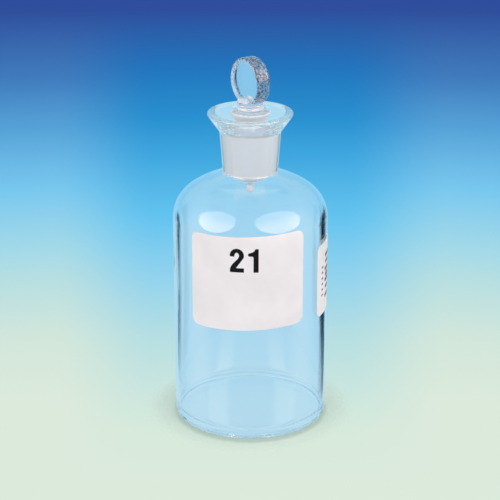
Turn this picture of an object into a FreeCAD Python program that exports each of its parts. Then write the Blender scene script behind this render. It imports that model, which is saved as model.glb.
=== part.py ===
# A 300 ml bottle for testing how much oxygen a water sample uses up, with its ground glass stopper.
# Four pieces: the blown bottle, the stopper, and two panels of white enamel fired onto the side.
# Millimetres. Z runs up the bottle's axis from the surface it stands on, and the front faces -Y.

import FreeCAD, Part
import math
import os

from FreeCAD import Vector

# Body
body_diameter = 67.0
wall_thickness = 2.6
side_height = 90.9
heel_radius = 1.4
foot_ring_diameter = 59.6
push_up_height = 1.2
floor_thickness = 2.2
floor_crown_height = 0.9
floor_corner_radius = 3.0

# Shoulder, a tight bend that runs on into a flatter crown and then rises to the neck
shoulder_bend_radius = 16.0
shoulder_bend_sweep_deg = 55.6
shoulder_crown_radius = 41.9
rise_foot_diameter = 37.0
rise_slope_deg = 27.4
rise_foot_radius = 25.0

# Neck and flared cup
neck_foot_diameter = 23.6
neck_root_radius = 0.9
neck_length = 17.8
neck_taper_ratio = 0.149
flare_lean_deg = 35.3
flare_root_radius = 2.0
cup_depth = 8.3
mouth_diameter = 30.0
lip_outer_radius = 0.8
lip_inner_radius = 2.0

# Ground joint, narrower by a tenth of its length towards the bottom
socket_diameter = 16.7
joint_taper_ratio = 0.1
socket_rise_above_neck = 0.5
socket_mouth_radius = 0.8
socket_foot_radius = 1.2
joint_clearance = 0.06

# Stopper below the cup
plug_rise_above_socket = 0.3
plug_length = 22.4
plug_corner_radius = 1.8
plug_bottom_slope_deg = 25.0
drip_root_diameter = 4.8
drip_neck_diameter = 2.5
drip_neck_drop = 1.5
drip_bulb_diameter = 3.6
drip_bulb_rise = 1.8
drip_length = 5.2

# Stopper above the plug, each height counted from the plug's top
waist_diameter = 12.9
waist_rise = 3.7
waist_foot_rise = 1.5
collar_diameter = 17.2
collar_rise = 7.6
stem_diameter = 11.1
stem_foot_rise = 10.4
stem_top_rise = 12.2
head_root_width = 11.6
head_root_thickness = 5.8
head_root_rise = 15.0
head_diameter = 20.5
head_thickness = 6.9
head_rim_radius = 1.3
head_rise = 20.8
head_turn_deg = -54.0

# Enamel panels, fired on with a slight lean
enamel_thickness = 0.15
panel_lean_deg = 1.8
panel_corner_radius = 3.2
front_panel_bottom = 51.7
front_panel_top = 93.6
front_panel_start_deg = -46.9
front_panel_end_deg = 41.4
side_panel_bottom = 50.7
side_panel_top = 83.6
side_panel_start_deg = 58.5
side_panel_end_deg = 115.0

origin = Vector(0, 0, 0)
up = Vector(0, 0, 1)
outward = Vector(1, 0, 0)
across = Vector(0, 1, 0)

# Places that follow from the sizes above
body_radius = body_diameter / 2
inner_radius = body_radius - wall_thickness
shoulder_bend_sweep = math.radians(shoulder_bend_sweep_deg)
bend_centre = Vector(body_radius - shoulder_bend_radius, 0, side_height)


def out_at(centre, radius, angle):
    """The point of a circle in the section plane, at an angle up from level."""
    return centre + Vector(radius * math.cos(angle), 0, radius * math.sin(angle))


crown_centre = out_at(bend_centre, shoulder_bend_radius - shoulder_crown_radius, shoulder_bend_sweep)


rise_slope = math.radians(rise_slope_deg)
rise_heading = Vector(-math.cos(rise_slope), 0, math.sin(rise_slope))
rise_facing = Vector(math.sin(rise_slope), 0, math.cos(rise_slope))


def rise_foot(depth):
    """The point, this deep in the glass, where the rise to the neck leaves the crown."""
    across_crown = (rise_foot_diameter / 2 - crown_centre.x) / shoulder_crown_radius
    start = out_at(crown_centre, shoulder_crown_radius, math.acos(across_crown)) - rise_facing * depth
    to_centre = crown_centre - start
    along = to_centre.dot(rise_heading)
    aside = to_centre.dot(rise_facing)
    return start + rise_heading * (along + math.sqrt((shoulder_crown_radius - depth) ** 2 - aside ** 2))


def on_rise(depth, distance):
    """The point of the rise to the neck, this deep in the glass, at a distance from the axis."""
    foot = rise_foot(depth)
    return foot + rise_heading * ((foot.x - distance) / math.cos(rise_slope))


neck_foot = on_rise(0, neck_foot_diameter / 2)
neck_top = neck_foot + Vector(neck_length * neck_taper_ratio / 2, 0, neck_length)
lip_height = neck_top.z + cup_depth
lip_reach = neck_top.x + cup_depth * math.tan(math.radians(flare_lean_deg))
socket_top = neck_top.z + socket_rise_above_neck
plug_top = socket_top + plug_rise_above_socket


def socket_radius(height):
    """Half the width of the ground socket at this height."""
    return (socket_diameter - (socket_top - height) * joint_taper_ratio) / 2


class Stretch:
    """One stretch of an outline in the section plane: straight, or an arc about a centre."""

    def __init__(self, start, end, centre=None):
        self.start = start
        self.end = end
        self.centre = centre

    def backwards(self):
        return Stretch(self.end, self.start, self.centre)

    def heading(self, point):
        """The direction of travel at one of its ends."""
        travel = self.end - self.start
        if self.centre:
            radial = point - self.centre
            tangent = Vector(radial.z, 0, -radial.x)
            travel = tangent if tangent.dot(travel) > 0 else tangent * -1
        return travel.normalize()

    def track(self, point=origin, aside=origin):
        """The whole line or circle that it lies on, moved aside at the given point."""
        if self.centre:
            return Part.Circle(self.centre, across, (point + aside - self.centre).Length)
        return Part.Line(self.start + aside, self.end + aside)

    def edge(self):
        if not self.centre:
            return Part.LineSegment(self.start, self.end).toShape()
        middle = (self.start - self.centre) + (self.end - self.centre)
        middle = self.centre + middle.normalize() * (self.start - self.centre).Length
        return Part.Arc(self.start, middle, self.end).toShape()


def path(*points):
    """Straight stretches from point to point."""
    return [Stretch(start, end) for start, end in zip(points, points[1:])]


def rounded(outline, corners):
    """The outline with each corner that is given as (point, radius) rounded off."""
    result = [outline[0]]
    for following in outline[1:]:
        before = result.pop()
        corner = before.end
        radius = next((size for point, size in corners if point.isEqual(corner, 1e-6)), 0)
        if not radius:
            result += [before, following]
            continue
        arriving = before.heading(corner)
        leaving = following.heading(corner)
        bend = arriving.dot(leaving)
        inside = (leaving - arriving * bend).normalize() * radius
        outside = (leaving * bend - arriving).normalize() * radius
        crossings = before.track(corner, inside).intersectCC(following.track(corner, outside))
        places = [Vector(place.X, place.Y, place.Z) for place in crossings]
        centre = min(places, key=lambda place: place.distanceToPoint(corner))
        touches = []
        for stretch in (before, following):
            track = stretch.track(corner)
            touches.append(track.value(track.parameter(centre)))
        result += [
            Stretch(before.start, touches[0], before.centre),
            Stretch(touches[0], touches[1], centre),
            Stretch(touches[1], following.end, following.centre),
        ]
    return result


def turned(outline, sweep_deg=360):
    """The solid that an outline of stretches or edges makes when it is turned about the axis."""
    edges = [piece.edge() if isinstance(piece, Stretch) else piece for piece in outline]
    return Part.Face(Part.Wire(edges)).revolve(origin, up, sweep_deg)


def crowned(rim, height):
    """An arc from the axis out to a rim, level at the axis and this much higher there."""
    radius = (rim.x ** 2 + height ** 2) / (2 * height)
    top = rim.z + height
    return Stretch(Vector(0, 0, top), rim, Vector(0, 0, top - radius))


def shoulder(depth, distance):
    """The bend, the crown and the rise to the neck, this deep in the glass, up to a distance from the axis."""
    bend_start = bend_centre + outward * (shoulder_bend_radius - depth)
    bend_end = out_at(bend_centre, shoulder_bend_radius - depth, shoulder_bend_sweep)
    bend = Stretch(bend_start, bend_end, bend_centre)
    crown = Stretch(bend_end, rise_foot(depth), crown_centre)
    rise = Stretch(crown.end, on_rise(depth, distance))
    return bend, crown, rise


def make_bottle():
    """The bottle, blown in one piece from its pushed-up base to the lip of its cup."""
    foot_ring = Vector(foot_ring_diameter / 2, 0, 0)
    heel = Vector(body_radius, 0, 0)
    lip_outer = Vector(lip_reach, 0, lip_height)
    lip_inner = Vector(mouth_diameter / 2, 0, lip_height)
    socket_mouth = Vector(socket_diameter / 2, 0, socket_top)
    floor_edge = Vector(inner_radius, 0, floor_thickness)

    outer_bend, outer_crown, outer_rise = shoulder(0, neck_foot.x)
    foot_distance = socket_radius(on_rise(wall_thickness, socket_diameter / 2).z)
    inner_bend, inner_crown, inner_rise = shoulder(wall_thickness, foot_distance)
    socket_foot = inner_rise.end

    outline = [crowned(foot_ring, push_up_height)]
    outline += path(foot_ring, heel, outer_bend.start)
    outline += [outer_bend, outer_crown, outer_rise]
    outline += path(neck_foot, neck_top, lip_outer, lip_inner, socket_mouth, socket_foot)
    outline += [inner_rise.backwards(), inner_crown.backwards(), inner_bend.backwards()]
    outline += path(inner_bend.start, floor_edge)
    outline += [crowned(floor_edge, floor_crown_height).backwards()]
    outline += path(outline[-1].end, outline[0].start)
    return turned(rounded(outline, [
        (heel, heel_radius),
        (outer_rise.start, rise_foot_radius),
        (neck_foot, neck_root_radius),
        (neck_top, flare_root_radius),
        (lip_outer, lip_outer_radius),
        (lip_inner, lip_inner_radius),
        (socket_mouth, socket_mouth_radius),
        (socket_foot, socket_foot_radius),
        (inner_rise.start, rise_foot_radius + wall_thickness),
        (floor_edge, floor_corner_radius),
    ]))


def make_plug():
    """The turned part of the stopper: drip point, ground plug, waist, collar and stem."""
    plug_bottom = plug_top - plug_length
    slope = math.radians(plug_bottom_slope_deg)
    plug_edge = Vector(socket_radius(plug_bottom) - joint_clearance, 0, plug_bottom)
    plug_rim = Vector(socket_radius(plug_top) - joint_clearance, 0, plug_top)

    drip_root = Vector(drip_root_diameter / 2, 0, 0)
    drip_root.z = plug_bottom - (plug_edge.x - drip_root.x) * math.tan(slope)
    drip_tip = Vector(0, 0, drip_root.z - drip_length)
    drip_bulb = Vector(drip_bulb_diameter / 2, 0, drip_tip.z + drip_bulb_rise)
    drip_neck = Vector(drip_neck_diameter / 2, 0, drip_root.z - drip_neck_drop)
    drip = Part.BSplineCurve()
    drip.interpolate(Points=[drip_tip, drip_bulb, drip_neck, drip_root],
                     InitialTangent=outward,
                     FinalTangent=out_at(origin, 1, slope))

    waist_foot = Vector((plug_rim.x + waist_diameter / 2) / 2, 0, plug_top + waist_foot_rise)
    waist = Vector(waist_diameter / 2, 0, plug_top + waist_rise)
    collar = Vector(collar_diameter / 2, 0, plug_top + collar_rise)
    stem_foot = Vector(stem_diameter / 2, 0, plug_top + stem_foot_rise)
    stem_top = Vector(stem_diameter / 2, 0, plug_top + stem_top_rise)
    waist_and_collar = Part.BSplineCurve()
    waist_and_collar.interpolate(Points=[plug_rim, waist_foot, waist, collar, stem_foot],
                                 InitialTangent=up - outward,
                                 FinalTangent=up)

    ground = rounded(path(drip_root, plug_edge, plug_rim), [(plug_edge, plug_corner_radius)])
    closing = path(stem_foot, stem_top, Vector(0, 0, stem_top.z), drip_tip)
    return turned([drip.toShape()] + ground + [waist_and_collar.toShape()] + closing)


def make_grip():
    """The flat round head, a disc on edge with a full rim, and the root that carries it."""
    back_rim = Vector(head_diameter / 2, 0, -head_thickness / 2)
    front_rim = Vector(head_diameter / 2, 0, head_thickness / 2)
    section = path(Vector(0, 0, back_rim.z), back_rim, front_rim, Vector(0, 0, front_rim.z),
                   Vector(0, 0, back_rim.z))
    disc = turned(rounded(section, [(back_rim, head_rim_radius), (front_rim, head_rim_radius)]))
    disc.rotate(origin, outward, 90)
    disc.translate(up * (plug_top + head_rise))

    stem_centre = up * (plug_top + stem_top_rise)
    root_centre = up * (plug_top + head_root_rise)
    stem_round = Part.Circle(stem_centre, up, stem_diameter / 2)
    root_oval = Part.Ellipse(root_centre + outward * head_root_width / 2,
                             root_centre + across * head_root_thickness / 2, root_centre)
    root = Part.makeLoft([Part.Wire(stem_round.toShape()), Part.Wire(root_oval.toShape())], True)
    grip = disc.fuse(root)
    grip.rotate(origin, up, head_turn_deg)
    return grip


def make_stopper():
    """The stopper, pressed and drawn in one piece."""
    return make_plug().fuse(make_grip()).removeSplitter()


def make_panel(bottom, top, start_deg, end_deg):
    """A thin panel of enamel on the side, between two heights and two turns from the front."""
    outer_bend = shoulder(-enamel_thickness, neck_foot.x)[0]
    inner_bend = shoulder(0, neck_foot.x)[0]
    low_inner = Vector(body_radius, 0, heel_radius)
    low_outer = low_inner + outward * enamel_thickness
    skin = turned(path(low_inner, low_outer, outer_bend.start) + [outer_bend]
                  + path(outer_bend.end, inner_bend.end) + [inner_bend.backwards()]
                  + path(inner_bend.start, low_inner))

    near = body_radius - shoulder_bend_radius
    far = body_radius + shoulder_bend_radius
    sector = turned(path(Vector(near, 0, 0), Vector(far, 0, 0), Vector(far, 0, lip_height),
                         Vector(near, 0, lip_height), Vector(near, 0, 0)), end_deg - start_deg)
    sector.rotate(origin, up, start_deg - 90)
    height = top - bottom
    slab = Part.makeBox(4 * far, 4 * far, height, Vector(-2 * far, -2 * far, -height / 2))
    slab.rotate(origin, across, -panel_lean_deg)
    slab.rotate(origin, up, (start_deg + end_deg) / 2)
    slab.translate(up * (bottom + top) / 2)
    window = sector.common(slab)
    corners = []
    for edge in window.Edges:
        reach = [math.hypot(vertex.X, vertex.Y) for vertex in edge.Vertexes]
        if max(reach) - min(reach) > shoulder_bend_radius:
            corners.append(edge)
    return skin.common(window.makeFillet(panel_corner_radius, corners))


pieces = {
    "bottle": make_bottle(),
    "stopper": make_stopper(),
    "front_panel": make_panel(front_panel_bottom, front_panel_top, front_panel_start_deg, front_panel_end_deg),
    "side_panel": make_panel(side_panel_bottom, side_panel_top, side_panel_start_deg, side_panel_end_deg),
}

os.makedirs("parts", exist_ok=True)
for name, shape in pieces.items():
    print(name, "valid", shape.isValid(), "solids", len(shape.Solids), "volume", round(shape.Volume, 2))
    shape.exportStep("parts/" + name + ".step")
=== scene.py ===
"""The look of the sample bottle: clear glass with a ground joint, white enamel panels and a soft studio.

Everything is in metres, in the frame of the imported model: Z is up and the numbered panel faces -Y.
"""

import math

import bmesh
import bpy
import numpy as np
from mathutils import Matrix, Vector


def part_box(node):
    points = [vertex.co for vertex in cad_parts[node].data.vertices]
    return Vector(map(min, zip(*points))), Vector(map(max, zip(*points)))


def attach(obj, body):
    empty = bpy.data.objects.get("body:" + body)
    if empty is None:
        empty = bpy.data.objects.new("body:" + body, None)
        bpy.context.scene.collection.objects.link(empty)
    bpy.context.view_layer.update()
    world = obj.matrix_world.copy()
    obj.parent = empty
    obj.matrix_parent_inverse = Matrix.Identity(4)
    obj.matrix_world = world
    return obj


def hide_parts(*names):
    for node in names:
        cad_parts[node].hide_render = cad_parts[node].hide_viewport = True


MM = 0.001

# Glass mesh
TURNS = 144
FINEST_STEP = 0.35 * MM
COARSE_STEP = 1.5 * MM
LONGEST_CURVED = 8 * MM

# Matt zones, as heights. The two ground faces meet between GROUND_BOTTOM and GROUND_TOP.
GROUND_BOTTOM = 110.6 * MM
GROUND_TOP = 130.2 * MM
PLUG_GROUND_TOP = GROUND_TOP + 0.3 * MM
SOCKET_GROUND_TOP = 132.3 * MM
COLLAR_BOTTOM = 132.6 * MM
COLLAR_TOP = 138.6 * MM
DRIP_BOTTOM = 100.0 * MM
DRIP_TOP = 105.6 * MM

# How far from the axis each matt zone reaches
SOCKET_REACH = 9.6 * MM
PLUG_REACH = 9.2 * MM
DRIP_REACH = 3.0 * MM

# Pressed rim of the head: the height of its centre, and the distances from it between which the waves and
# the painted dark refractions set in
HEAD_HEIGHT = 151.3 * MM
RIM_STARTS = 9.65 * MM
RIM_FULL = 10.1 * MM
STEM_PLAIN = 9.0 * MM
STEM_WAVY_AND_SHADED = 7.5 * MM

# Inside of the base: the wall thins towards the heel, where the floor meets it in a round. The frame's wall and
# floor are thicker.
BODY_TOP = 80.0 * MM
HEEL_THINNING = 1.0 * MM
HEEL_THIN_TO = 66.0 * MM
HEEL_ROUND = 1.2 * MM
HEEL_REACH = 0.6 * MM
FLOOR_EDGE = 1.2 * MM
FLOOR_CROWN = 1.25 * MM
FLOOR_CLEAR = 6.0 * MM
ROUND_STEPS = 16
FLOOR_STEPS = 40

# Side panel: a copy whose far edge ends before it would show through the glass from the front. It is squeezed
# over this much on each side of its middle line, and leans as the photograph shows.
SIDE_PANEL_END_DEG = 93.0
SQUEEZED_HALF_DEG = 14.0
PANEL_LEAN_DEG = 1.8

# Print
INK_PROUD = 0.012 * MM
INK_SUNK = 0.03 * MM
PRINT_CUT_MM = 0.4
FIGURE_HEIGHT = 78.05 * MM
FIGURE_2_TURN_DEG = -14.7
FIGURE_1_TURN_DEG = -1.56
LONG_BARS_TURN_DEG = 78.5
SHORT_BARS_TURN_DEG = 67.5
LONG_BARS_MM = [(76.8, 6.0), (73.7, 5.0), (70.4, 6.4), (67.7, 5.0), (65.2, 6.4), (61.9, 5.0), (58.0, 6.0)]
SHORT_BARS_TOP_MM = 72.3
SHORT_BARS_PITCH_MM = 2.58
SHORT_BARS = 6

# Floor: how far from a point near the axis it is darkened by a painted contact shadow, and how far from the
# axis it gives way to the backdrop
PAINTED_SHADOW_CENTRE_Y = -2.4 * MM
PAINTED_SHADOW_FULL = 32.6 * MM
PAINTED_SHADOW_GONE = 35.4 * MM
FLOOR_SEEN_TO = 34.0 * MM
FLOOR_GONE_FROM = 48.0 * MM
FLOOR_RADIUS = 1.2

# The floor lies this far under the base, so that the two faces don't coincide
FLOOR_GAP = 0.05 * MM

# Backdrop: it has its middle colours up to the first of these sideways parts of the direction, and its outer
# ones from the second
SKY_MIDDLE = 0.058
SKY_OUTER = 0.125

# Rays that are caught in the glass leave it after many bounces
BOUNCES = 96

# Camera, from the vanishing of the upright sides in the photograph
CAMERA_BACK = 647.8 * MM
CAMERA_UP = 324.6 * MM
CAMERA_DIP_DEG = 21.05
FOCAL_LENGTH_PX = 1589.2
IMAGE_WIDTH_PX = 500
AXIS_PX = 250.3
SENSOR_WIDTH = 36.0

# Soft windows as (name, azimuth, elevation, width, height, brightness, width and height of its glint).
# The azimuth is 0 at the camera's side and grows to the right.
WINDOWS = [("left", -58, 30, 1.42, 1.5, 1.86, 1.3, 1.4), ("right", 48.5, 33, 1.8, 1.6, 1.72, 1.66, 1.5)]
WINDOW_DISTANCE = 1.3
GLINT_DISTANCE = 1.28
GLINT_BRIGHTNESS = 6.4
GLINT_COLOUR = (1.0, 0.58, 0.26)
LAMP_TARGET_HEIGHT = 0.1

# Azimuth, elevation, distance, width, height and brightness
RIGHT_FILL = (118, 20, 1.5, 0.9, 1.2, 1.15)

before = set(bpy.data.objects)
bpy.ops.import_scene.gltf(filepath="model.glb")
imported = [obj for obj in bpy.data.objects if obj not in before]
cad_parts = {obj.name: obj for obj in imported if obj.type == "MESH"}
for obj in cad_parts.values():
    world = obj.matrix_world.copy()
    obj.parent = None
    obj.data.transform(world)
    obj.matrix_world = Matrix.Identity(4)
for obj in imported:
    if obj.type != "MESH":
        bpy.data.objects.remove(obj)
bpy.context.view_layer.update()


# Node helpers

def srgb(red, green, blue):
    """A colour as a screen shows it, 0 to 255, as the linear colour that Blender works in."""
    linear = []
    for level in (red, green, blue):
        share = level / 255
        linear.append(share / 12.92 if share <= 0.04045 else ((share + 0.055) / 1.055) ** 2.4)
    return (*linear, 1.0)


class Nodes:
    """A material or world node tree that is built from the shader up."""

    def __init__(self, owner):
        owner.use_nodes = True
        self.tree = owner.node_tree
        self.tree.nodes.clear()

    def add(self, kind, values=None, **settings):
        node = self.tree.nodes.new(kind)
        for name, value in settings.items():
            setattr(node, name, value)
        for socket, value in (values or {}).items():
            if isinstance(value, bpy.types.NodeSocket):
                self.tree.links.new(value, node.inputs[socket])
            else:
                node.inputs[socket].default_value = value
        return node

    def math(self, operation, first, second=None, third=None):
        node = self.tree.nodes.new("ShaderNodeMath")
        node.operation = operation
        for socket, value in zip(node.inputs, (first, second, third)):
            if isinstance(value, bpy.types.NodeSocket):
                self.tree.links.new(value, socket)
            elif value is not None:
                socket.default_value = value
        return node.outputs[0]

    def smooth(self, value, low, high, start=0.0, end=1.0):
        """Goes smoothly from start to end while value goes from low to high."""
        node = self.add("ShaderNodeMapRange", {0: value, 1: low, 2: high, 3: start, 4: end},
                        interpolation_type="SMOOTHSTEP")
        return node.outputs[0]

    def noise(self, where, scale, detail=2.0, roughness=0.5):
        node = self.add("ShaderNodeTexNoise", {"Vector": where, "Scale": scale, "Detail": detail,
                                               "Roughness": roughness})
        return node.outputs["Fac"]

    def ramp(self, value, stops):
        """stops is a list of (place, colour)."""
        node = self.add("ShaderNodeValToRGB", {0: value})
        points = node.color_ramp.elements
        while len(points) < len(stops):
            points.new(0.5)
        for point, (place, colour) in zip(points, stops):
            point.position = place
            point.color = colour
        return node.outputs[0]

    def mix(self, share, first, second):
        node = self.add("ShaderNodeMix", data_type="RGBA")
        for socket, value in ((node.inputs[0], share), (node.inputs[6], first), (node.inputs[7], second)):
            if isinstance(value, bpy.types.NodeSocket):
                self.tree.links.new(value, socket)
            else:
                socket.default_value = value
        return node.outputs[2]

    def bump(self, height, strength, distance):
        node = self.add("ShaderNodeBump", {"Height": height, "Strength": strength, "Distance": distance})
        return node.outputs[0]

    def output(self, surface, kind="ShaderNodeOutputMaterial"):
        self.add(kind, {"Surface": surface})


# Materials

def place_in_frame(nodes):
    """The point in the frame, with its height and its distance from the axis."""
    point = nodes.add("ShaderNodeTexCoord").outputs["Object"]
    parts = nodes.add("ShaderNodeSeparateXYZ", {0: point}).outputs
    across = nodes.math("SQRT", nodes.math("ADD", nodes.math("MULTIPLY", parts[0], parts[0]),
                                           nodes.math("MULTIPLY", parts[1], parts[1])))
    return point, parts[2], across


def band(nodes, value, low, high, edge):
    """1 where value is between low and high and 0 outside, with edges that wide."""
    above = nodes.smooth(value, low, low + edge)
    below = nodes.smooth(value, high - edge, high, 1.0, 0.0)
    return nodes.math("MULTIPLY", above, below)


def glass_material(name, clear_colour, ground_bands, pressed=None):
    """Polished glass that is matt in each of ground_bands, as (low, high, largest distance from the axis).

    pressed is (centre height, start, full): beyond that distance from the centre the surface is wavy, as the
    rim of a pressed head is, and mottled with painted dark and pale refractions."""
    material = bpy.data.materials.new(name)
    nodes = Nodes(material)
    point, height, across = place_in_frame(nodes)
    uneven = nodes.math("MULTIPLY_ADD", nodes.noise(point, 900, 3), 0.9 * MM, -0.45 * MM)
    edge_height = nodes.math("ADD", height, uneven)
    ground = None
    for low, high, reach in ground_bands:
        here = nodes.math("MULTIPLY", band(nodes, edge_height, low, high, 0.5 * MM),
                          nodes.math("LESS_THAN", across, reach))
        ground = here if ground is None else nodes.math("MAXIMUM", ground, here)

    stone_marks = nodes.noise(point, 5200, 4, 0.7)
    waves = nodes.noise(point, 42, 2, 0.4)
    ripples = nodes.noise(point, 260, 2, 0.5)
    surface = nodes.math("MULTIPLY_ADD", ripples, 0.035, waves)
    polished = nodes.bump(surface, 0.25, 0.35 * MM)
    colour = nodes.mix(ground, clear_colour, srgb(224, 221, 231))
    if pressed:
        centre, start, full = pressed
        reach = nodes.add("ShaderNodeVectorMath", {0: point, 1: (0.0, 0.0, centre)}, operation="DISTANCE")
        rim = nodes.math("MULTIPLY", nodes.smooth(reach.outputs["Value"], start, full),
                         nodes.smooth(height, centre - STEM_PLAIN, centre - STEM_WAVY_AND_SHADED))
        polished = nodes.add("ShaderNodeBump", {
            "Height": nodes.noise(point, 1150, 2, 0.5), "Strength": rim, "Distance": 0.16 * MM,
            "Normal": polished}).outputs[0]
        # Painted refractions: dark and pale mottles in the rim's colour, standing in for what the clear glass
        # bends into view
        grain = nodes.ramp(nodes.noise(point, 1350, 3, 0.6), [
            (0.4, srgb(38, 38, 56)), (0.47, srgb(104, 112, 140)), (0.53, srgb(176, 190, 212)),
            (0.6, clear_colour)])
        colour = nodes.mix(rim, colour, grain)
    matt = nodes.add("ShaderNodeBump", {
        "Height": stone_marks, "Strength": nodes.math("MULTIPLY", ground, 0.6), "Distance": 0.05 * MM,
        "Normal": polished}).outputs[0]
    shader = nodes.add("ShaderNodeBsdfPrincipled", {
        "Base Color": colour,
        "Roughness": nodes.math("MULTIPLY_ADD", ground, 0.5, nodes.math("MULTIPLY", ripples, 0.012)),
        "Transmission Weight": nodes.math("MULTIPLY_ADD", ground, -0.8, 1.0),
        "IOR": 1.47,
        "Normal": matt})
    path = nodes.add("ShaderNodeLightPath").outputs
    lets_light_by = nodes.math("MAXIMUM", path["Is Shadow Ray"], path["Is Diffuse Ray"])
    clear = nodes.add("ShaderNodeBsdfTransparent", {0: (0.9, 0.94, 0.95, 1.0)}).outputs[0]
    either = nodes.add("ShaderNodeMixShader", {0: lets_light_by, 1: shader.outputs[0], 2: clear})
    nodes.output(either.outputs[0])
    return material


def enamel_material():
    """Fired white enamel: satin, with a faint orange peel and a cloudy tone."""
    material = bpy.data.materials.new("white_enamel")
    nodes = Nodes(material)
    point = place_in_frame(nodes)[0]
    cloud = nodes.noise(point, 70, 3, 0.55)
    peel = nodes.noise(point, 1500, 3, 0.6)
    colour = nodes.ramp(cloud, [(0.3, srgb(229, 219, 225)), (0.7, srgb(238, 228, 234))])
    shader = nodes.add("ShaderNodeBsdfPrincipled", {
        "Base Color": colour,
        "Roughness": nodes.math("MULTIPLY_ADD", peel, 0.25, 0.42),
        "Specular IOR Level": 0.3,
        "Normal": nodes.bump(peel, 0.35, 0.02 * MM)})
    nodes.output(shader.outputs[0])
    return material


def ink_material():
    """Black ceramic ink, a little thin in places."""
    material = bpy.data.materials.new("black_ink")
    nodes = Nodes(material)
    point = place_in_frame(nodes)[0]
    grain = nodes.noise(point, 1300, 3, 0.6)
    colour = nodes.ramp(grain, [(0.35, srgb(5, 6, 8)), (0.55, srgb(10, 12, 16)), (0.75, srgb(22, 28, 36))])
    shader = nodes.add("ShaderNodeBsdfPrincipled", {
        "Base Color": colour,
        "Roughness": nodes.math("MULTIPLY_ADD", grain, 0.3, 0.35),
        "Specular IOR Level": 0.15,
        "Normal": nodes.bump(grain, 0.4, 0.02 * MM)})
    nodes.output(shader.outputs[0])
    return material


# The glass pieces

def turned_outline(node):
    """The outline that a turned CAD node was spun from, as (distance, height) points, end to end.

    It is read on the side where x is above 0, with the slope of the surface at each point, so that the points
    between two of them lie on the same curve."""
    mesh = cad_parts[node].data
    places = {}
    for vertex in mesh.vertices:
        x, y, z = vertex.co
        if abs(y) < 1e-7 and x > -1e-7:
            places[vertex.index] = (round(x, 7), round(z, 7))
    facing = [Vector(normal.vector) for normal in mesh.corner_normals]
    slopes, beside = {}, {}
    for face in mesh.polygons:
        corners = {mesh.loops[i].vertex_index: facing[i] for i in face.loop_indices}
        seam = [v for v in corners if v in places]
        if len(seam) == 2 and places[seam[0]] != places[seam[1]]:
            first, second = (places[v] for v in seam)
            beside.setdefault(first, set()).add(second)
            beside.setdefault(second, set()).add(first)
            for here, there, v in ((first, second, seam[0]), (second, first, seam[1])):
                slopes[here, there] = (corners[v].x, corners[v].z)
    ends = sorted((p for p in beside if len(beside[p]) == 1), key=lambda p: p[1])
    chain, last = [ends[0]], None
    while chain[-1] != ends[1]:
        here = chain[-1]
        chain.append(next(p for p in beside[here] if p != last))
        last = here

    points = [chain[0]]
    for start, end in zip(chain, chain[1:]):
        a, b = np.array(start), np.array(end)
        chord = b - a
        length = np.linalg.norm(chord)
        tangents = []
        for key in ((start, end), (end, start)):
            nx, nz = slopes[key]
            tangent = np.array((-nz, nx)) / max(math.hypot(nx, nz), 1e-9)
            tangents.append(tangent * (1 if tangent @ chord > 0 else -1) * length)
        steps = max(1, round(length / (FINEST_STEP if length < LONGEST_CURVED else COARSE_STEP)))
        for step in range(1, steps + 1):
            t = step / steps
            points.append(tuple((2 * t**3 - 3 * t**2 + 1) * a + (t**3 - 2 * t**2 + t) * tangents[0]
                                + (3 * t**2 - 2 * t**3) * b + (t**3 - t**2) * tangents[1]))
    return points


def spin(name, outline):
    """A closed mesh spun about the axis from an outline that starts and ends on it."""
    mesh = bmesh.new()
    rings = []
    for distance, height in outline:
        if distance < 1e-6:
            rings.append([mesh.verts.new((0, 0, height))])
            continue
        rings.append([mesh.verts.new((distance * math.cos(2 * math.pi * i / TURNS),
                                      distance * math.sin(2 * math.pi * i / TURNS), height))
                      for i in range(TURNS)])
    for low, high in zip(rings, rings[1:]):
        for i in range(TURNS):
            j = (i + 1) % TURNS
            corners = [low[i % len(low)], low[j % len(low)], high[j % len(high)], high[i % len(high)]]
            mesh.faces.new(list(dict.fromkeys(corners)))
    bmesh.ops.recalc_face_normals(mesh, faces=mesh.faces)
    data = bpy.data.meshes.new(name)
    mesh.to_mesh(data)
    mesh.free()
    data.shade_smooth()
    piece = bpy.data.objects.new(name, data)
    bpy.context.scene.collection.objects.link(piece)
    return piece


def thin_heel(outline):
    """The outline with a thinner wall just over the base and a floor that runs out to it in a tight round."""
    lip = max(range(len(outline)), key=lambda i: outline[i][1])
    outer, inner = outline[:lip], outline[lip:]
    wall = max(x for x, z in inner if z < BODY_TOP) + HEEL_THINNING
    round_x, round_z = wall - HEEL_ROUND, FLOOR_EDGE + HEEL_ROUND
    thinned = []
    for x, z in inner:
        share = min(max((HEEL_THIN_TO - z) / (HEEL_THIN_TO - round_z), 0), 1)
        x += HEEL_THINNING * share * share * (3 - 2 * share)
        if z > FLOOR_CLEAR or (z > round_z and x > wall - HEEL_REACH):
            thinned.append((x, z))
    turns = [math.pi / 2 * i / ROUND_STEPS for i in range(ROUND_STEPS + 1)]
    corner = [(round_x + HEEL_ROUND * math.cos(turn), round_z - HEEL_ROUND * math.sin(turn))
              for turn in turns]
    inward = [1 - i / FLOOR_STEPS for i in range(1, FLOOR_STEPS + 1)]
    floor = [(round_x * share, FLOOR_EDGE + FLOOR_CROWN * (1 - share ** 2)) for share in inward]
    return outer + thinned + corner + floor


def make_bottle():
    piece = spin("bottle_glass", thin_heel(turned_outline("bottle")))
    piece.data.materials.append(glass_material("bottle_clear_glass", srgb(250, 253, 255), [
        (GROUND_BOTTOM, SOCKET_GROUND_TOP, SOCKET_REACH)]))
    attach(piece, "root")
    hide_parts("bottle")


def finish_stopper():
    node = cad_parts["stopper"]
    node.data.materials.clear()
    node.data.materials.append(glass_material("stopper_clear_glass", srgb(224, 234, 245), [
        (GROUND_BOTTOM, PLUG_GROUND_TOP, PLUG_REACH), (COLLAR_BOTTOM, COLLAR_TOP, PLUG_REACH),
        (DRIP_BOTTOM, DRIP_TOP, DRIP_REACH)], pressed=(HEAD_HEIGHT, RIM_STARTS, RIM_FULL)))


# Enamel and print

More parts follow.
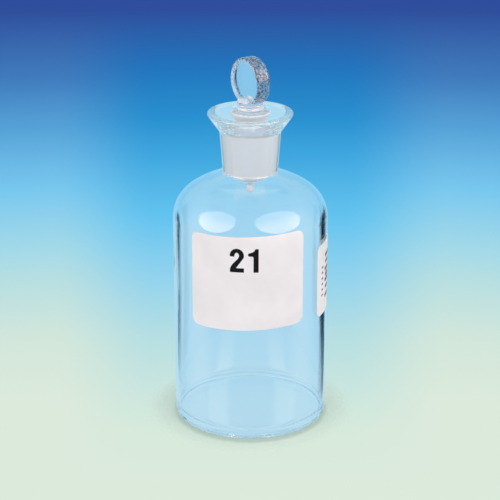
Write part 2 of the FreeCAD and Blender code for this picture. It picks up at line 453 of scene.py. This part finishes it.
def finish_panels(enamel):
    """Enamel on the front panel, and on a copy of the side panel that is squeezed to end nearer."""
    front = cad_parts["front_panel"]
    front.data.materials.clear()
    front.data.materials.append(enamel)

    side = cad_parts["side_panel"]
    mesh = side.data.copy()
    turns = [math.atan2(vertex.co.x, -vertex.co.y) for vertex in mesh.vertices]
    middle = (min(turns) + max(turns)) / 2
    spare = max(turns) - math.radians(SIDE_PANEL_END_DEG)
    squeezed = math.radians(SQUEEZED_HALF_DEG)
    for vertex, turn in zip(mesh.vertices, turns):
        shift = spare * min(max((turn - middle + squeezed) / (2 * squeezed), 0), 1)
        reach = math.hypot(vertex.co.x, vertex.co.y)
        vertex.co = (reach * math.sin(turn - shift), -reach * math.cos(turn - shift),
                     vertex.co.z - reach * shift * math.tan(math.radians(PANEL_LEAN_DEG)))
    mesh.materials.clear()
    mesh.materials.append(enamel)
    piece = bpy.data.objects.new("side_panel_enamel", mesh)
    bpy.context.scene.collection.objects.link(piece)
    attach(piece, "root")
    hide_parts("side_panel")


def oval(centre, half_width, half_height, start_deg, end_deg, steps=24):
    turns = [math.radians(start_deg + (end_deg - start_deg) * i / steps) for i in range(steps + 1)]
    return [(centre[0] + half_width * math.cos(turn), centre[1] + half_height * math.sin(turn))
            for turn in turns]


def figure_two():
    """Outline of a bold narrow figure 2, 6 wide and 10.5 high."""
    outer = oval((3.0, 7.45), 3.0, 3.1, 184, -18)
    inner = oval((2.95, 7.4), 0.95, 1.35, -22, 176)
    return (outer + [(2.65, 1.9), (6.0, 1.9), (6.0, 0), (0, 0), (0.05, 1.45), (0.5, 2.7), (1.5, 4.1),
            (3.35, 6.0)] + inner + [(1.9, 6.95), (0.1, 7.0)])


def figure_one():
    """Outline of a bold narrow figure 1, 4.4 wide and 10.5 high."""
    return [(2.25, 0), (4.4, 0), (4.4, 10.5), (3.05, 10.5), (2.55, 9.5), (1.6, 8.95), (0.25, 8.6), (0, 8.3),
            (0, 7.55), (0.3, 7.25), (1.85, 7.15), (2.25, 6.75)]


def wrap_print(name, outlines, azimuth_deg, height, material):
    """Flat outlines in millimetres laid round the glass, just proud of the enamel."""
    surface = -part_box("front_panel")[0][1]
    data = bmesh.new()
    for outline in outlines:
        data.faces.new([data.verts.new((x, z, 0)) for x, z in outline])
    across = [x for outline in outlines for x, z in outline]
    for cut in np.arange(min(across), max(across), PRINT_CUT_MM):
        bmesh.ops.bisect_plane(data, geom=data.verts[:] + data.edges[:] + data.faces[:],
                               plane_co=(cut, 0, 0), plane_no=(1, 0, 0))
    back = bmesh.ops.extrude_face_region(data, geom=data.faces[:])["geom"]
    for vertex in (v for v in back if isinstance(v, bmesh.types.BMVert)):
        vertex.co.z = 1
    for vertex in data.verts:
        x, z, out = vertex.co
        angle = math.radians(azimuth_deg) + x * MM / surface
        reach = surface + (INK_PROUD if out else -INK_SUNK)
        vertex.co = (reach * math.sin(angle), -reach * math.cos(angle), height + z * MM)
    bmesh.ops.recalc_face_normals(data, faces=data.faces)
    mesh = bpy.data.meshes.new(name)
    data.to_mesh(mesh)
    data.free()
    mesh.materials.append(material)
    piece = bpy.data.objects.new(name, mesh)
    bpy.context.scene.collection.objects.link(piece)
    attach(piece, "root")
    return piece


def bar(height, width, thickness, slant):
    """A printed bar about the middle line, higher at its right end by slant."""
    left, right = -width / 2, width / 2
    return [(left, height - (thickness + slant) / 2), (right, height - (thickness - slant) / 2),
            (right, height + (thickness + slant) / 2), (left, height + (thickness - slant) / 2)]


def make_print(ink):
    """The number on the front panel, and plain bars in place of the small text on the side panel."""
    wrap_print("figure_2", [figure_two()], FIGURE_2_TURN_DEG, FIGURE_HEIGHT, ink)
    wrap_print("figure_1", [figure_one()], FIGURE_1_TURN_DEG, FIGURE_HEIGHT, ink)
    wrap_print("long_bars", [bar(height, width, 1.5, 0.5) for height, width in LONG_BARS_MM],
               LONG_BARS_TURN_DEG, 0, ink)
    short_heights = [SHORT_BARS_TOP_MM - SHORT_BARS_PITCH_MM * step for step in range(SHORT_BARS)]
    wrap_print("short_bars", [bar(height, 1.6, 0.8, 0.3) for height in short_heights],
               SHORT_BARS_TURN_DEG, 0, ink)


# Stage

def studio_in_glass(nodes, parts):
    """The room as glass shows it: a blue sweep behind, paler sides, and dark stands that draw the edge lines.

    parts are those of the direction looked in. A turn is counted from straight behind the object."""
    rise = parts[2]
    turn_right = nodes.math("ARCTAN2", parts[0], parts[1])
    turn_left = nodes.math("MULTIPLY", turn_right, -1.0)
    turn_away = nodes.math("ABSOLUTE", turn_right)

    def between(turn, low_deg, high_deg, edge_deg):
        return band(nodes, turn, math.radians(low_deg), math.radians(high_deg), math.radians(edge_deg))

    def beyond(start_deg, full_deg):
        return nodes.smooth(turn_away, math.radians(start_deg), math.radians(full_deg))

    behind = nodes.ramp(nodes.math("ADD", rise, 0.5), [
        (0.0, srgb(188, 224, 238)), (0.08, srgb(188, 225, 240)), (0.12, srgb(178, 221, 241)),
        (0.16, srgb(168, 220, 245)), (0.22, srgb(152, 214, 244)), (0.5, srgb(134, 204, 240)),
        (0.7, srgb(142, 205, 236)), (0.95, srgb(180, 214, 230))])
    light_bands = nodes.math("MAXIMUM", between(turn_left, 1.0, 2.7, 0.5), between(turn_right, 1.1, 2.9, 0.5))
    low_down = nodes.smooth(rise, -0.375, -0.42)
    light_share = nodes.math("MULTIPLY", light_bands, nodes.math("MULTIPLY", low_down, 0.75))
    behind = nodes.mix(light_share, behind, srgb(206, 236, 246))
    whole_rise = nodes.math("MULTIPLY_ADD", rise, 0.5, 0.5)
    beside = nodes.ramp(whole_rise, [
        (0.1, srgb(190, 222, 237)), (0.3, srgb(222, 236, 243)), (0.5, srgb(232, 243, 249)),
        (0.9, srgb(236, 246, 252))])
    before = nodes.ramp(whole_rise, [
        (0.1, srgb(184, 220, 236)), (0.27, srgb(178, 214, 232)), (0.4, srgb(132, 172, 202)),
        (0.62, srgb(128, 168, 198)), (0.8, srgb(182, 210, 228)), (0.95, srgb(214, 231, 242))])
    colour = nodes.mix(beyond(62, 88), behind, beside)
    colour = nodes.mix(beyond(100, 125), colour, before)

    stand_right = nodes.math("MULTIPLY", between(turn_right, 21, 52, 5), nodes.smooth(rise, -0.442, -0.392))
    stand_left = nodes.math("MULTIPLY", between(turn_left, 31, 48, 4), nodes.smooth(rise, -0.415, -0.345))
    low = nodes.smooth(rise, -0.19, -0.12, 1.0, 0.0)
    stands = nodes.math("MULTIPLY", nodes.math("MAXIMUM", stand_right, stand_left), low)
    colour = nodes.mix(stands, colour, srgb(18, 34, 50))

    under = nodes.math("MULTIPLY", beyond(95, 112), band(nodes, rise, -0.86, -0.45, 0.06))
    return nodes.mix(under, colour, srgb(48, 70, 92))


def make_world():
    """A blue backdrop that fades to pale green at the floor, the room that glass shows, and even light."""
    world = bpy.data.worlds.new("studio")
    bpy.context.scene.world = world
    nodes = Nodes(world)
    direction = nodes.add("ShaderNodeTexCoord").outputs["Generated"]
    parts = nodes.add("ShaderNodeSeparateXYZ", {0: direction}).outputs
    height = nodes.math("ADD", parts[2], 0.5)
    middle = nodes.ramp(height, [
        (0.01, srgb(220, 234, 220)), (0.04, srgb(214, 234, 220)), (0.09, srgb(183, 223, 226)),
        (0.125, srgb(147, 211, 237)), (0.16, srgb(100, 196, 239)), (0.195, srgb(65, 169, 224)),
        (0.22, srgb(41, 144, 208)), (0.25, srgb(34, 117, 188)), (0.285, srgb(47, 78, 157))])
    outer = nodes.ramp(height, [
        (0.0575, srgb(220, 234, 220)), (0.0915, srgb(211, 231, 219)), (0.126, srgb(184, 223, 225)),
        (0.143, srgb(165, 218, 232)), (0.179, srgb(121, 200, 239)), (0.214, srgb(87, 164, 217)),
        (0.244, srgb(65, 125, 191)), (0.286, srgb(47, 78, 157))])
    outward = nodes.smooth(nodes.math("ABSOLUTE", parts[0]), SKY_MIDDLE, SKY_OUTER)
    sky = nodes.mix(outward, middle, outer)
    path = nodes.add("ShaderNodeLightPath").outputs
    in_glass = nodes.math("MAXIMUM", path["Is Glossy Ray"], path["Is Transmission Ray"])
    colour = nodes.mix(in_glass, (0.4, 0.4, 0.41, 1.0), studio_in_glass(nodes, parts))
    colour = nodes.mix(path["Is Camera Ray"], colour, sky)
    nodes.output(nodes.add("ShaderNodeBackground", {0: colour, 1: 1.0}).outputs[0], "ShaderNodeOutputWorld")


def make_floor():
    """A pale floor that fades into the backdrop a little way from the object."""
    material = bpy.data.materials.new("pale_floor")
    nodes = Nodes(material)
    point, _, across = place_in_frame(nodes)
    speck = nodes.noise(point, 300, 2)
    colour = nodes.ramp(speck, [(0.3, srgb(214, 231, 217)), (0.7, srgb(218, 234, 220))])
    from_shade = nodes.add("ShaderNodeVectorMath", {0: point, 1: (0.0, PAINTED_SHADOW_CENTRE_Y, 0.0)},
                           operation="DISTANCE")
    # Painted contact shadow: the floor's colour is darkened round the base, besides the shadow that the lamps
    # cast
    painted_shadow = nodes.smooth(from_shade.outputs["Value"], PAINTED_SHADOW_FULL, PAINTED_SHADOW_GONE, 1.0, 0.0)
    colour = nodes.mix(painted_shadow, colour, srgb(190, 208, 194))
    paper = nodes.add("ShaderNodeBsdfPrincipled", {"Base Color": colour, "Roughness": 0.9,
                                                   "Specular IOR Level": 0.0}).outputs[0]
    path = nodes.add("ShaderNodeLightPath").outputs
    outward = nodes.smooth(across, FLOOR_SEEN_TO, FLOOR_GONE_FROM)
    beside = nodes.math("MULTIPLY", path["Is Camera Ray"], outward)
    in_glass = nodes.math("MAXIMUM", path["Is Glossy Ray"], path["Is Transmission Ray"])
    gone = nodes.math("MAXIMUM", in_glass, beside)
    clear = nodes.add("ShaderNodeBsdfTransparent").outputs[0]
    nodes.output(nodes.add("ShaderNodeMixShader", {0: gone, 1: paper, 2: clear}).outputs[0])
    mesh = bmesh.new()
    bmesh.ops.create_circle(mesh, cap_ends=True, segments=96, radius=FLOOR_RADIUS)
    data = bpy.data.meshes.new("floor")
    mesh.to_mesh(data)
    mesh.free()
    data.materials.append(material)
    floor = bpy.data.objects.new("floor", data)
    floor.location.z = -FLOOR_GAP
    bpy.context.scene.collection.objects.link(floor)


def towards(azimuth_deg, elevation_deg):
    """The direction from the object towards a lamp."""
    azimuth, elevation = math.radians(azimuth_deg), math.radians(elevation_deg)
    return Vector((math.sin(azimuth) * math.cos(elevation), -math.cos(azimuth) * math.cos(elevation),
                   math.sin(elevation)))


def softbox(name, azimuth_deg, elevation_deg, distance, width, height, brightness):
    """A flat oval lamp that faces the neck of the bottle. brightness is what its face shows, 1 for white."""
    target = Vector((0, 0, LAMP_TARGET_HEIGHT))
    lamp = bpy.data.lights.new(name, "AREA")
    lamp.shape = "ELLIPSE"
    lamp.size, lamp.size_y = width, height
    area = math.pi / 4 * width * height
    lamp.energy = brightness * math.pi * area
    box = bpy.data.objects.new(name, lamp)
    box.location = target + towards(azimuth_deg, elevation_deg) * distance
    box.rotation_euler = (target - box.location).to_track_quat("-Z", "Y").to_euler()
    box.visible_camera = box.visible_transmission = False
    bpy.context.scene.collection.objects.link(box)
    return box


def make_lights():
    """Two soft windows and a fill, and a warm glint in each window that only mirror reflections show."""
    for side, azimuth, elevation, width, height, brightness, _, _ in WINDOWS:
        softbox(side + "_window", azimuth, elevation, WINDOW_DISTANCE, width, height, brightness)
    fill = softbox("right_fill", *RIGHT_FILL)
    fill.visible_glossy = False
    for side, azimuth, elevation, _, _, _, width, height in WINDOWS:
        glint = softbox(side + "_glint", azimuth, elevation, GLINT_DISTANCE, width, height, GLINT_BRIGHTNESS)
        glint.data.color = GLINT_COLOUR
        glint.visible_diffuse = False
        shade = Nodes(glint.data)
        across_lamp = shade.add("ShaderNodeNewGeometry").outputs["Parametric"]
        place = shade.add("ShaderNodeSeparateXYZ", {0: across_lamp}).outputs
        glow = shade.add("ShaderNodeEmission", {"Strength": shade.smooth(place[1], 0.25, 0.85, 1.0, 0.25)})
        shade.output(glow.outputs[0], "ShaderNodeOutputLight")


def make_camera():
    camera = bpy.data.cameras.new("camera")
    camera.sensor_width = SENSOR_WIDTH
    camera.lens = FOCAL_LENGTH_PX * SENSOR_WIDTH / IMAGE_WIDTH_PX
    camera.shift_x = (IMAGE_WIDTH_PX / 2 - AXIS_PX) / IMAGE_WIDTH_PX
    camera.clip_start = 0.01
    holder = bpy.data.objects.new("camera", camera)
    holder.location = (0, -CAMERA_BACK, CAMERA_UP)
    holder.rotation_euler = (math.radians(90 - CAMERA_DIP_DEG), 0, 0)
    bpy.context.scene.collection.objects.link(holder)
    bpy.context.scene.camera = holder


make_bottle()
finish_stopper()
finish_panels(enamel_material())
make_print(ink_material())
make_world()
make_floor()
make_lights()
make_camera()
scene = bpy.context.scene
scene.view_settings.view_transform = "Standard"
scene.cycles.max_bounces = scene.cycles.transmission_bounces = scene.cycles.glossy_bounces = BOUNCES
